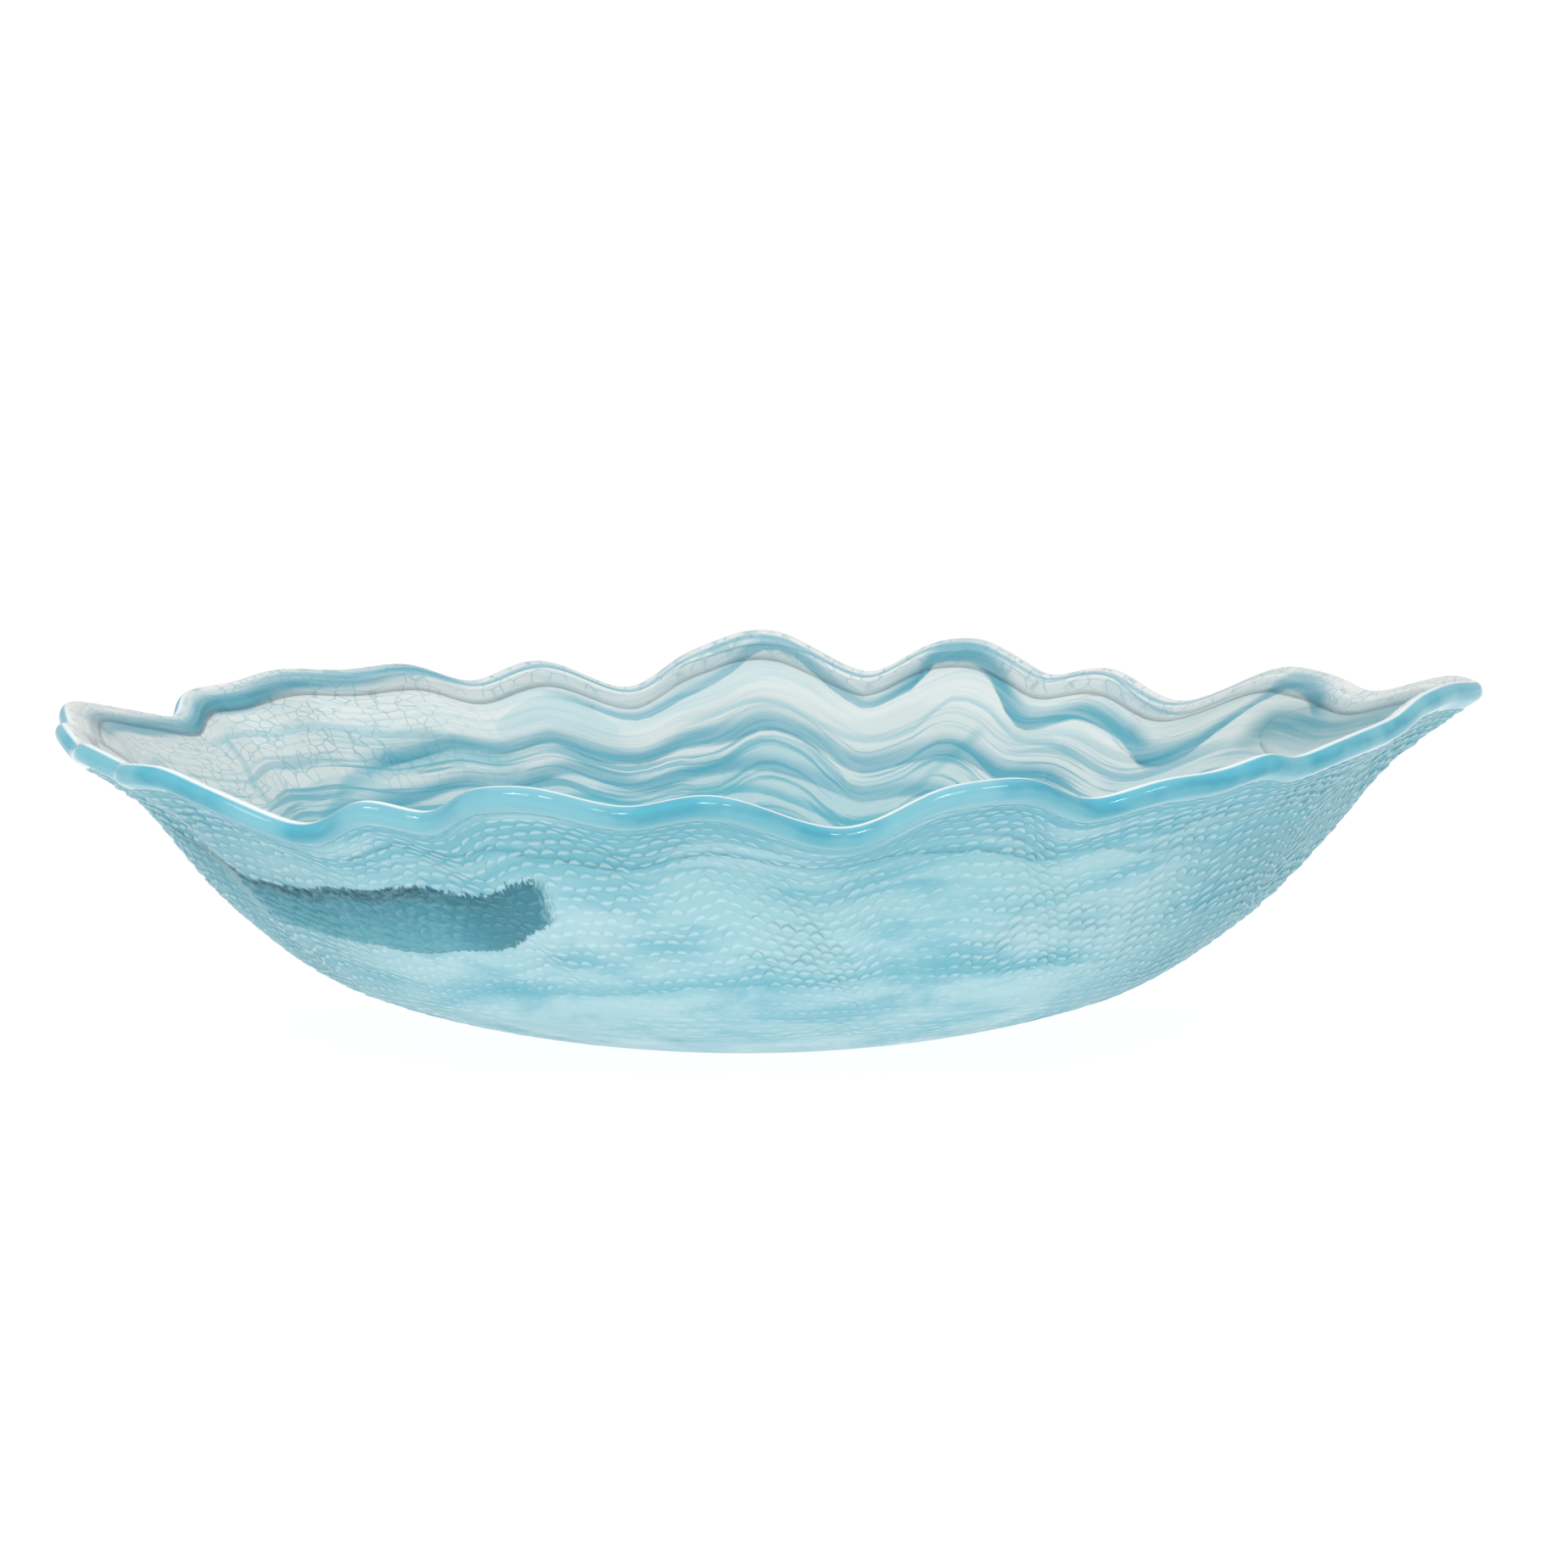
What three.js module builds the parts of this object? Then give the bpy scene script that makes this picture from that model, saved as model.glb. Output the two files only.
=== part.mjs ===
// Oval art glass bowl with a ruffled lip, built up from gathers of glass as a glass shop would cast it:
// a textured outer casing, coloured ribbons laid on its inside, a clear inner casing over them, and a
// lip wrap that closes the edge all the way round. Millimetres, +Z up.
// The origin is the centre of the flat ground foot; +X runs along the bowl's length, to its raised end.

import * as THREE from 'three';

// ---------- driving dimensions ----------

const HALF_LENGTH = 198;      // plan semi-axis of the mean lip along X
const HALF_WIDTH = 136;       // plan semi-axis of the mean lip along Y
const MEAN_HEIGHT = 89;       // mean height of the lip's crown over the table
const FOOT_SHARE = 0.16;      // the flat foot's radius, as a share of the lip's

const CASING_OUT = 1.6;       // thickness of the textured outer casing
const INTERLAYER = 1.2;       // room between the casings, where the ribbons lie
const CASING_IN = 3.0;        // thickness of the clear inner casing
const RIBBON = 0.4;           // thickness of a coloured ribbon
const WALL = CASING_OUT + INTERLAYER + CASING_IN;
const LIP_PROUD = 0.3;        // how far the lip wrap stands proud of each face of the wall

const LIP_START = 0.955;      // where the casings end, as a share of the wall's length
const LIP_GAP = 0.004;        // clearance between the casings and the lip wrap, same measure
const RUFFLE_REACH = 1.5;     // how fast the ruffles die out down the wall: larger is faster
const RUFFLE_START = 0.25;    // share of the radius below which the wall is a plain oval

// The wall's section from the foot's edge to the lip: share of the radius, share of the height.
const SECTION = [
  [FOOT_SHARE, 0], [0.30, 0.045], [0.46, 0.125], [0.61, 0.255],
  [0.76, 0.515], [0.86, 0.78], [0.93, 0.91], [1, 1],
];

// The crests and troughs of the lip, anticlockwise from the raised end:
// bearing in degrees, height of the crown over the table, and reach beyond the mean oval.
const RUFFLES = [
  [0, 100, 6], [9, 98.5, 4], [20, 91, -6], [27, 92.5, -4], [33, 93, 0], [38.5, 92, 3], [48, 80.5, -5],
  [57.5, 87.5, 3], [62.5, 85.5, -1], [65, 89, 0], [69.5, 94.5, 4], [73.5, 93.5, 4], [79, 85, -3],
  [83.5, 90.5, 0], [87, 95.5, 4], [90, 96, 5], [96, 88.5, 1], [100.5, 80.5, -4], [108.5, 88, 3],
  [115.5, 83.5, -3], [120.5, 88.5, 2], [128, 88.5, 0], [133.5, 89.5, 3], [141, 87.5, -1],
  [144.5, 86.5, 1], [147, 85, -2], [150.5, 81, -7], [156, 84, -3], [163, 88.5, 3], [170, 88, -3],
  [177, 86, -9], [185, 90, -8], [193, 87, -10], [201, 89.5, -6], [208, 86.5, -8], [215, 89, 3],
  [220, 89.5, 3], [226, 84, 0], [233.5, 77.5, -4], [240.5, 85.5, 2], [245, 83, -3], [249.5, 90, 3],
  [254, 91.5, 4], [261, 86, -3], [267.5, 90, 3], [278.5, 80.5, -4], [285, 91, 3], [291.5, 93, 4],
  [298, 86, -3], [304, 90, 0], [309, 91.5, 1], [314.5, 94.5, 1], [318.5, 92.5, -2], [329, 96, -4],
  [337, 98, -5], [344, 101, -5], [352, 102, -1],
];

const COLUMNS_PER_RUFFLE = 2; // mesh columns between one crest or trough and the next
const WALL_STATIONS = 9;      // mesh steps up the wall, from the foot's edge to the end of the casings
const RIBBON_STEPS = 4;       // mesh steps across a ribbon
const RIBBON_TIP = 0.2;       // a ribbon's width at its ends, as a share of its widest
const WALL_LENGTH = 170;      // mean length of the wall from foot to lip, to turn a width into a share

// Coloured ribbons: name, first and last bearing in degrees, where their middle runs (share of the wall's
// length, at even steps from the first bearing to the last), and width at the widest.
const RIBBONS = [
  ['aqua_ribbon_back_left', 120, 165, [0.95, 0.93, 0.92, 0.90, 0.92, 0.92, 0.89], 8],
  ['aqua_ribbon_back_rim', 79, 104, [0.86, 0.92, 0.93, 0.86, 0.85, 0.85], 5],
  ['aqua_ribbon_back_right', 42, 75, [0.73, 0.79, 0.84, 0.81, 0.83, 0.92, 0.87], 8],
  ['aqua_ribbon_back_mid', 57, 138, [0.65, 0.675, 0.70, 0.71, 0.72, 0.71, 0.65], 7],
  ['aqua_ribbon_back_low', 66, 132, [0.59, 0.63, 0.65, 0.655, 0.65, 0.61], 6],
  ['teal_ribbon_right_end', 8, 37, [0.85, 0.84, 0.83, 0.83, 0.81, 0.77], 20],
  ['aqua_ribbon_left_end', 168, 208, [0.84, 0.82, 0.83, 0.86], 9],
  ['aqua_ribbon_front_high', 238, 345, [0.82, 0.76, 0.74, 0.78, 0.79, 0.76, 0.75, 0.73, 0.72, 0.70], 5],
  ['teal_ribbon_front_left', 204, 254, [0.66, 0.62, 0.62, 0.64, 0.67], 20],
  ['aqua_ribbon_front_low', 226, 312, [0.44, 0.47, 0.50, 0.51, 0.52, 0.53], 8],
];

// ---------- the oval, its ruffled lip and its wall ----------

const ovalRadius = (bearing) => {
  const c = Math.cos(bearing) / HALF_LENGTH;
  const s = Math.sin(bearing) / HALF_WIDTH;
  return 1 / Math.hypot(c, s);
};

// Bearings are those of the oval's own parameter, so that they crowd towards its ends.
const ruffleToPoint = ([degrees, height, reach]) => {
  const turn = THREE.MathUtils.degToRad(degrees);
  const x = HALF_LENGTH * Math.cos(turn);
  const y = HALF_WIDTH * Math.sin(turn);
  const stretch = 1 + reach / Math.hypot(x, y);
  return new THREE.Vector3(x * stretch, y * stretch, height);
};

const lip = new THREE.CatmullRomCurve3(RUFFLES.map(ruffleToPoint), true, 'centripetal');
const COLUMNS = RUFFLES.length * COLUMNS_PER_RUFFLE;
const crown = lip.getPoints(COLUMNS).slice(0, COLUMNS);
const columns = [...crown.keys()];

const section = new THREE.SplineCurve(SECTION.map(([r, h]) => new THREE.Vector2(r, h)));

const CROWN_IN = 0.9;         // the wall's outer edge lies this far inside the lip's crown
const CROWN_DROP = 5;         // and this far under it
const SLOPE_STEP = 0.02;      // share of the wall to either side over which its slope is taken

// A point on the wall's outer face: column of the mesh, and share of the wall's length from the foot.
function wallPoint(column, share) {
  const top = crown[column];
  const bearing = Math.atan2(top.y, top.x);
  const { x: radius, y: height } = section.getPoint(share);
  const ruffle = Math.pow(Math.max(0, (radius - RUFFLE_START) / (1 - RUFFLE_START)), RUFFLE_REACH);
  const plain = ovalRadius(bearing);
  const reach = plain + (Math.hypot(top.x, top.y) - CROWN_IN - plain) * ruffle;
  const rise = THREE.MathUtils.lerp(MEAN_HEIGHT, top.z, ruffle) - CROWN_DROP;
  return new THREE.Vector2(radius * reach, height * rise);
}

// The wall's outward-and-up direction and its inward normal at a point, in the column's own plane.
function wallFrame(column, share) {
  if (share <= 0) return { along: new THREE.Vector2(1, 0), inward: new THREE.Vector2(0, 1) };
  const low = wallPoint(column, Math.max(0, share - SLOPE_STEP));
  const high = wallPoint(column, Math.min(1, share + SLOPE_STEP));
  const along = high.sub(low).normalize();
  return { along, inward: new THREE.Vector2(-along.y, along.x) };
}

// A point at a depth inside the wall, turned from the column's plane into space.
function inWall(column, share, depth, beyond = 0) {
  const { along, inward } = wallFrame(column, share);
  const p = wallPoint(column, share).addScaledVector(inward, depth).addScaledVector(along, beyond);
  const bearing = Math.atan2(crown[column].y, crown[column].x);
  return new THREE.Vector3(p.x * Math.cos(bearing), p.x * Math.sin(bearing), p.y);
}

// ---------- closed meshes from rings of points ----------

function toGeometry(points, triangles) {
  const geometry = new THREE.BufferGeometry();
  geometry.setAttribute('position', new THREE.Float32BufferAttribute(points.flatMap((p) => p.toArray()), 3));
  geometry.setIndex(triangles);
  geometry.computeVertexNormals();
  return geometry;
}

// Two triangles between corner i and corner i + 1 of two neighbouring rings.
function strip(triangles, lower, upper, i, next) {
  triangles.push(lower + i, lower + next, upper + next);
  triangles.push(lower + i, upper + next, upper + i);
}

// A shell whose rings run from a pole under it, up its outer face, and down its inner face to a pole.
function shellGeometry(rings, bottomPole, topPole) {
  const points = [...rings.flat(), bottomPole, topPole];
  const bottom = points.length - 2;
  const top = points.length - 1;
  const triangles = [];
  for (let i = 0; i < COLUMNS; i++) {
    const next = (i + 1) % COLUMNS;
    for (let r = 0; r + 1 < rings.length; r++) strip(triangles, r * COLUMNS, (r + 1) * COLUMNS, i, next);
    triangles.push(bottom, next, i);
    const last = (rings.length - 1) * COLUMNS;
    triangles.push(top, last + i, last + next);
  }
  return toGeometry(points, triangles);
}

// A closed hoop: rings that follow one another round its section.
function hoopGeometry(rings) {
  const triangles = [];
  for (let i = 0; i < COLUMNS; i++) {
    for (let r = 0; r < rings.length; r++) {
      strip(triangles, r * COLUMNS, ((r + 1) % rings.length) * COLUMNS, i, (i + 1) % COLUMNS);
    }
  }
  return toGeometry(rings.flat(), triangles);
}

// A flat band with closed ends. Each row goes across its under side and back across its upper side.
function bandGeometry(rows) {
  const corners = rows[0].length;
  const triangles = [];
  for (let row = 0; row + 1 < rows.length; row++) {
    for (let c = 0; c < corners; c++) {
      strip(triangles, row * corners, (row + 1) * corners, c, (c + 1) % corners);
    }
  }
  const last = (rows.length - 1) * corners;
  for (let c = 0; c + 1 < corners / 2; c++) {
    const across = corners - 1 - c;
    triangles.push(c, across, across - 1, c, across - 1, c + 1);
    triangles.push(last + c, last + across - 1, last + across, last + c, last + c + 1, last + across - 1);
  }
  return toGeometry(rows.flat(), triangles);
}

// ---------- the glass ----------

function casingGeometry(depthOut, depthIn) {
  const shares = [...Array(WALL_STATIONS + 1).keys()].map((i) => (i / WALL_STATIONS) * LIP_START);
  const ring = (share, depth) => columns.map((column) => inWall(column, share, depth));
  const rings = [
    ...shares.map((share) => ring(share, depthOut)),
    ...[...shares].reverse().map((share) => ring(share, depthIn)),
  ];
  return shellGeometry(rings, new THREE.Vector3(0, 0, depthOut), new THREE.Vector3(0, 0, depthIn));
}

function lipGeometry() {
  const start = LIP_START + LIP_GAP;
  const half = WALL / 2;
  const round = half + LIP_PROUD;
  const capTurns = [-90, -45, 0, 45, 90].map(THREE.MathUtils.degToRad);
  const rings = [
    columns.map((column) => inWall(column, start, -LIP_PROUD)),
    ...capTurns.map((turn) => columns.map((column) => (
      inWall(column, 1, half + round * Math.sin(turn), round * Math.cos(turn))))),
    columns.map((column) => inWall(column, start, WALL + LIP_PROUD)),
  ];
  return hoopGeometry(rings);
}

// A mesh column's bearing on the oval, in degrees.
function columnBearing(column) {
  const ruffle = Math.floor(column / COLUMNS_PER_RUFFLE);
  const [here] = RUFFLES[ruffle];
  const [next] = RUFFLES[ruffle + 1] ?? [360];
  return THREE.MathUtils.lerp(here, next, column / COLUMNS_PER_RUFFLE - ruffle);
}

// A point between two of the casings' own stations, on the flat of their mesh, so that a ribbon's mesh
// keeps the same distance from theirs everywhere.
function onFlat(column, share, depth) {
  const station = Math.min(WALL_STATIONS - 1, Math.floor((share / LIP_START) * WALL_STATIONS));
  const [low, high] = [station, station + 1].map((i) => (i / WALL_STATIONS) * LIP_START);
  return inWall(column, low, depth).lerp(inWall(column, high, depth), (share - low) / (high - low));
}

function ribbonGeometry(from, to, course, width) {
  const crossed = columns.filter((column) => columnBearing(column) >= from && columnBearing(column) <= to);
  const middle = new THREE.SplineCurve(
    course.map((share, i) => new THREE.Vector2(i / (course.length - 1), share)));
  const under = CASING_OUT + (INTERLAYER - RIBBON) / 2;
  const across = [...Array(RIBBON_STEPS + 1).keys()].map((i) => (2 * i) / RIBBON_STEPS - 1);
  const rows = crossed.map((column) => {
    const along = (columnBearing(column) - from) / (to - from);
    const taper = RIBBON_TIP + (1 - RIBBON_TIP) * Math.sqrt(Math.sin(Math.PI * along));
    const half = (width * taper) / 2 / WALL_LENGTH;
    const centre = middle.getPoint(along).y;
    const side = (depth) => across.map((step) => onFlat(column, centre - step * half, depth));
    return [...side(under), ...side(under + RIBBON).reverse()];
  });
  return bandGeometry(rows);
}

const glass = (color, roughness = 0.08) => new THREE.MeshStandardMaterial({ color, roughness, metalness: 0 });
const PALE_AQUA = glass('#9fd3de', 0.25);
const CLEAR = glass('#e6f1f1');
const LIP_AQUA = glass('#6fbdd2', 0.05);
const AQUA = glass('#5fb4c6');
const TEAL = glass('#3f8f9e');

const bowl = new THREE.Group();

function addPiece(name, geometry, material) {
  const mesh = new THREE.Mesh(geometry, material);
  mesh.name = name;
  bowl.add(mesh);
}

addPiece('outer_textured_casing', casingGeometry(0, CASING_OUT), PALE_AQUA);
addPiece('inner_clear_casing', casingGeometry(CASING_OUT + INTERLAYER, WALL), CLEAR);
addPiece('lip_wrap', lipGeometry(), LIP_AQUA);
for (const [name, from, to, course, width] of RIBBONS) {
  addPiece(name, ribbonGeometry(from, to, course, width), name.startsWith('teal') ? TEAL : AQUA);
}

export default bowl;
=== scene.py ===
"""Looks of an oval art glass bowl with a ruffled lip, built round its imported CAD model. Metres, +Z up.

Every mesh column of the CAD casings lies in one upright plane through the axis, so the casings and the lip
wrap give the wall as a table of sections round the oval. Smooth curves through that table carry the fine
surfaces: the outer casing with its relief of scales, the clear casing, the rounded lip and the ribbons.
"""

import math

import bpy
import numpy as np
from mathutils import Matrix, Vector, noise


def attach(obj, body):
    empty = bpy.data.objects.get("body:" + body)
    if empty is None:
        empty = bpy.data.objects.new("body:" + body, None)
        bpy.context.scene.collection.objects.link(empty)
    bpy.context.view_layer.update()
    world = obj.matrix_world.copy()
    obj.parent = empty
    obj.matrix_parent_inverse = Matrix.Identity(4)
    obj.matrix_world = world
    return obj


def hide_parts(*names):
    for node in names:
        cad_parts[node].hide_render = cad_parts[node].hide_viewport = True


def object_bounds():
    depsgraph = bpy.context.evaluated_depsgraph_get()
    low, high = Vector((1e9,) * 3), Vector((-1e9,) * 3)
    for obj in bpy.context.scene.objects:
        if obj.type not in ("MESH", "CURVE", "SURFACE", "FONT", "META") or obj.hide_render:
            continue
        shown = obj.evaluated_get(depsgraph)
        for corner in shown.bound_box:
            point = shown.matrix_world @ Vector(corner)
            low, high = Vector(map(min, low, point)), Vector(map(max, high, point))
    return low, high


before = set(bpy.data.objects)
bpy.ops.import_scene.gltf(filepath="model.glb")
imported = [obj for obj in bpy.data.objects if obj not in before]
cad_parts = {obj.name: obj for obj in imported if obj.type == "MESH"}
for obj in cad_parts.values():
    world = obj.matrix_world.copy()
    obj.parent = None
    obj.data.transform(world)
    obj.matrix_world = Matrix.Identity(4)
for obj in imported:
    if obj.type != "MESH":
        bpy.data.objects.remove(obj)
cad_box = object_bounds()

MM = 0.001
TURN = 2 * math.pi            # radians in a full turn

# ---------- what the CAD nodes say ----------

OVAL = 198 / 136              # the plan's length over its width
STATIONS = 10                 # sections of a casing's wall, from the foot's edge to its end
CASING_TOP = 0.955            # where the casings end, as a share of the wall's length
LIP_PROUD = 0.3 * MM          # how far the lip wrap stands proud of the wall
ON_AXIS = 1 * MM              # points nearer the axis than this are a casing's poles
SAME_PLANE = 0.004            # points of one column differ by less than this angle

# ---------- the layers of the wall, as depths below its outer face ----------

WALL = 5.8 * MM               # its whole thickness
WALL_LENGTH = 170 * MM        # its mean length from foot to lip
LINING_DEPTH = 1.6 * MM       # the outer casing's inner face
CLEAR_DEPTHS = (2.05 * MM, WALL)          # the clear casing's two faces
RIBBON_DEPTHS = (1.85 * MM, 1.55 * MM)    # a ribbon's upper face, and its lower one, just inside the lining

# ---------- the relief of scales on the outside ----------

SCALE_ROWS = 42               # rows of scales from the foot to the lip
COARSE_ROWS = 20              # the lowest of them, with half as many scales, each twice as wide
FINE_COLUMNS = 880            # mesh columns above those rows: four to a scale
COARSE_COLUMNS = FINE_COLUMNS // 2
FOOT_COLUMNS = FINE_COLUMNS // 4
RELIEF = 0.85 * MM            # height of the ledge at a scale's upper edge, where the relief is strong
SUNK = 0.4                    # the share of it that lies below the wall's face
ARC = (0.0, 0.72, 1.0, 0.72)  # how far up a scale's upper edge bulges, column by column
CREST = (0.25, 0.85, 1.0, 0.85)           # how high the ledge is there
EDGE_HIGHLIGHT = (0.15, 0.9, 1.0, 0.9)         # how bright the painted highlight on the ledge is there
FINE_STEPS = ((0.14, 0.08), (0.42, 0.45), (0.7, 0.82), (0.93, 1.0))    # place in a row, height
COARSE_STEPS = ((0.15, 0.0), (0.92, 1.0))
BULGES = (0.2, 0.62)          # least and most that an edge bulges, as shares of a row
FLAT_SCALES, FLAT_BULGE = 0.2, 0.2        # how many scales are nearly flat, and how much they still bulge
LIFTS = (-0.17, 0.17)         # how far scales sit below or above their row, as shares of a row
BOLDNESS = (0.4, 1.25)        # the weakest and the strongest scales
# Slow waves of the rows: height as a share of a row, waves round the bowl, phase, phase added at each row.
ROW_WAVES = ((0.55, 11, 0.0, 0.21), (0.35, 23, 1.3, 0.33), (0.22, 41, 0.6, 0.5))
FADE_ROWS = 3                 # rows over which the waves fade out at the foot, the lip and the doubling
# The relief sets in between the first two shares. It is calmer below the next two, except near the ends
# of the oval, and again at the rim, and its strength is uneven.
RELIEF_STARTS, CALM_SHARES, RIM_SHARES = (0.10, 0.34), (0.46, 0.58), (0.84, 0.92)
CALM, CALM_AT_RIM = 0.7, 0.4
END_LENGTHS, END_GAIN = (50 * MM, 150 * MM), 0.65
UNEVEN_SIZE, UNEVEN_MEAN, UNEVEN_SWING, UNEVEN_LIMITS = 26 * MM, 0.9, 0.55, (0.35, 1.3)
HIGHLIGHT_ANYWAY = 0.3             # how much of the painted highlight on a ledge stays where the relief is weak

SEED = 7
dice = np.random.default_rng(SEED)


# ---------- smooth curves ----------

def spline(knots, targets, period=None):
    """The matrix that turns values at the knots into those of a cubic spline at the targets."""
    knots, targets = np.asarray(knots, float), np.asarray(targets, float)
    count = len(knots)
    ends = np.append(knots, knots[0] + period) if period else knots
    gaps = np.diff(ends)
    bend = np.eye(count)
    pull = np.zeros((count, count))
    for i in range(count) if period else range(1, count - 1):
        before, after = (i - 1) % count, (i + 1) % count
        left, right = gaps[i - 1], gaps[i]
        bend[i, before], bend[i, i], bend[i, after] = left, 2 * (left + right), right
        pull[i, before] += 6 / left
        pull[i, i] -= 6 / left + 6 / right
        pull[i, after] += 6 / right
    curvature = np.linalg.solve(bend, pull)
    spot = np.clip(np.searchsorted(ends, targets, side="right") - 1, 0, len(gaps) - 1)
    width = gaps[spot]
    b = (targets - ends[spot]) / width
    a = 1 - b
    values = np.eye(count)
    low, high = spot, (spot + 1) % count
    steep = width ** 2 / 6
    return (a[:, None] * values[low] + b[:, None] * values[high]
            + ((a ** 3 - a) * steep)[:, None] * curvature[low]
            + ((b ** 3 - b) * steep)[:, None] * curvature[high])


def smooth(x, low, high):
    """0 below low, 1 above high, and a smooth rise between."""
    t = np.clip((np.asarray(x, float) - low) / (high - low), 0, 1)
    return t * t * (3 - 2 * t)


NOISE_GAIN = 1.6              # brings Blender's noise to about -1 to 1
NOISE_OFFSET = 3.7            # keeps its even pattern off the origin


def soft_noise(points, size):
    """Smooth noise of about -1 to 1 at each point, with features of this size."""
    shape = points.shape[:-1]
    flat = points.reshape(-1, 3) / size + NOISE_OFFSET
    return np.array([noise.noise(Vector(p)) for p in flat]).reshape(shape) * NOISE_GAIN


# ---------- the wall, read from the CAD nodes ----------

def read_columns(node):
    """A CAD node's columns: the angle of each one's plane, and its (radius, height) points."""
    points = np.unique([tuple(v.co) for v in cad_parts[node].data.vertices], axis=0)
    points = points[np.hypot(points[:, 0], points[:, 1]) > ON_AXIS]
    angle = (np.arctan2(points[:, 1], points[:, 0]) + SAME_PLANE) % TURN - SAME_PLANE
    order = np.argsort(angle)
    angle, points = angle[order], points[order]
    starts = np.flatnonzero(np.diff(angle) > SAME_PLANE) + 1
    flat = np.column_stack((np.hypot(points[:, 0], points[:, 1]), points[:, 2]))
    angles = np.array([part[0] for part in np.split(angle, starts)])
    return angles, np.array(np.split(flat, starts))


def casing_faces(node):
    """A casing's columns as an array [column, station, outer or inner face, radius or height]."""
    angles, columns = read_columns(node)
    by_radius = np.argsort(columns[:, :, 0], axis=1)[:, :, None]
    pairs = np.take_along_axis(columns, by_radius, 1).reshape(len(angles), STATIONS, 2, 2)
    by_height = np.argsort(pairs[:, :, :, 1], axis=2)[:, :, :, None]
    return angles, np.take_along_axis(pairs, by_height, 2)


def unit(vectors):
    return vectors / np.linalg.norm(vectors, axis=-1, keepdims=True)


def read_wall():
    """Each column's angle, and its sections up to the lip: outer face, and the direction inward from it."""
    angles, outer = casing_faces("outer_textured_casing")
    _, clear = casing_faces("inner_clear_casing")
    outside = outer[:, :, 0]
    inward = unit(clear[:, :, 1] - outside)
    _, lip = read_columns("lip_wrap")
    from_end = lip - outside[:, -1:]
    along = unit(outside[:, -1] - outside[:, -2])
    up = np.einsum("cpi,ci->cp", from_end, along)
    depth = np.einsum("cpi,ci->cp", from_end, inward[:, -1])
    roots = 2
    cap = np.argsort(up, axis=1)[:, roots:]
    across = np.argsort(np.take_along_axis(depth, cap, 1), axis=1)
    first, last = (np.take_along_axis(cap, across[:, side:][:, :1], 1) for side in (0, -1))
    near, far = (np.take_along_axis(lip, pick[:, :, None], 1) for pick in (first, last))
    inward_top = unit(far - near)
    outside = np.concatenate((outside, near + LIP_PROUD * inward_top), axis=1)
    return angles, outside, np.concatenate((inward, inward_top), axis=1)


SHARES = np.append(np.linspace(0, CASING_TOP, STATIONS), 1.0)
SAMPLES = 400                 # steps of the finer table that the surfaces are read from
PLANES, OUTSIDE, INWARD = read_wall()


class Wall:
    """The wall as a smooth surface, at evenly spaced columns round the lip."""

    def __init__(self, count):
        top = OUTSIDE[:, -1]
        crown = np.column_stack((top[:, 0] * np.cos(PLANES), top[:, 0] * np.sin(PLANES), top[:, 1]))
        steps = np.linalg.norm(np.diff(crown, axis=0, append=crown[:1]), axis=1)
        knots = np.append(0, np.cumsum(steps)[:-1])
        around = steps.sum()
        targets = np.arange(count) * around / count
        round_oval = spline(knots, targets, around)
        up_wall = spline(SHARES, np.linspace(0, 1, SAMPLES + 1)).T
        drift = round_oval @ (PLANES - TURN * knots / around)
        self.count = count
        self.plane = drift + TURN * targets / around
        bearing = np.arctan2(OVAL * np.sin(self.plane), np.cos(self.plane))
        self.bearing = np.unwrap(bearing) - TURN * round(bearing[0] / TURN)
        parts = (*np.moveaxis(OUTSIDE, 2, 0), *np.moveaxis(INWARD, 2, 0))
        self.table = np.stack([round_oval @ part @ up_wall for part in parts], axis=2)
        self.table[:, :, 1] = np.maximum(self.table[:, :, 1], 0)

    def section(self, share, columns=None):
        """Outer face and inward direction, both as (radius, height), where share is [row, column]."""
        columns = np.arange(self.count) if columns is None else columns
        spot = np.clip(share, 0, 1) * SAMPLES
        low = np.minimum(spot.astype(int), SAMPLES - 1)
        part = (spot - low)[..., None]
        found = self.table[columns, low] * (1 - part) + self.table[columns, low + 1] * part
        return found[..., :2], unit(found[..., 2:])

    def place(self, share, depth, columns=None, beyond=0.0):
        """Points at a depth inside the wall, and this far beyond it along its slope."""
        face, inward = self.section(share, columns)
        along = np.stack((inward[..., 1], -inward[..., 0]), axis=-1)
        flat = face + np.asarray(depth)[..., None] * inward + np.asarray(beyond)[..., None] * along
        plane = self.plane if columns is None else self.plane[columns]
        return np.stack((flat[..., 0] * np.cos(plane), flat[..., 0] * np.sin(plane), flat[..., 1]), axis=-1)


FINE, COARSE, FOOT = Wall(FINE_COLUMNS), Wall(COARSE_COLUMNS), Wall(FOOT_COLUMNS)

# Length up the wall, as a mean over its columns, to turn lengths into shares and back.
MEAN_SECTION = FINE.table[:, :, :2].mean(axis=0)
LENGTHS = np.append(0, np.cumsum(np.linalg.norm(np.diff(MEAN_SECTION, axis=0), axis=1)))


def share_at(length):
    return np.interp(length, LENGTHS, np.linspace(0, 1, SAMPLES + 1))


def length_at(share):
    return np.interp(share, np.linspace(0, 1, SAMPLES + 1), LENGTHS)


# ---------- meshes from rings of points ----------

FLOW_RADIUS = 165 * MM        # radius of the cylinder that the pattern coordinates lie on
LAYOUT_WIDTH = 1.01           # turns that the flat layout is wide, as faces reach past the first full turn
LAYOUT = "OFBake"             # the flat layout of a piece's surface
PLACE = "Wall"                # where on the wall a corner is: turns round the oval, share of the wall


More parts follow.
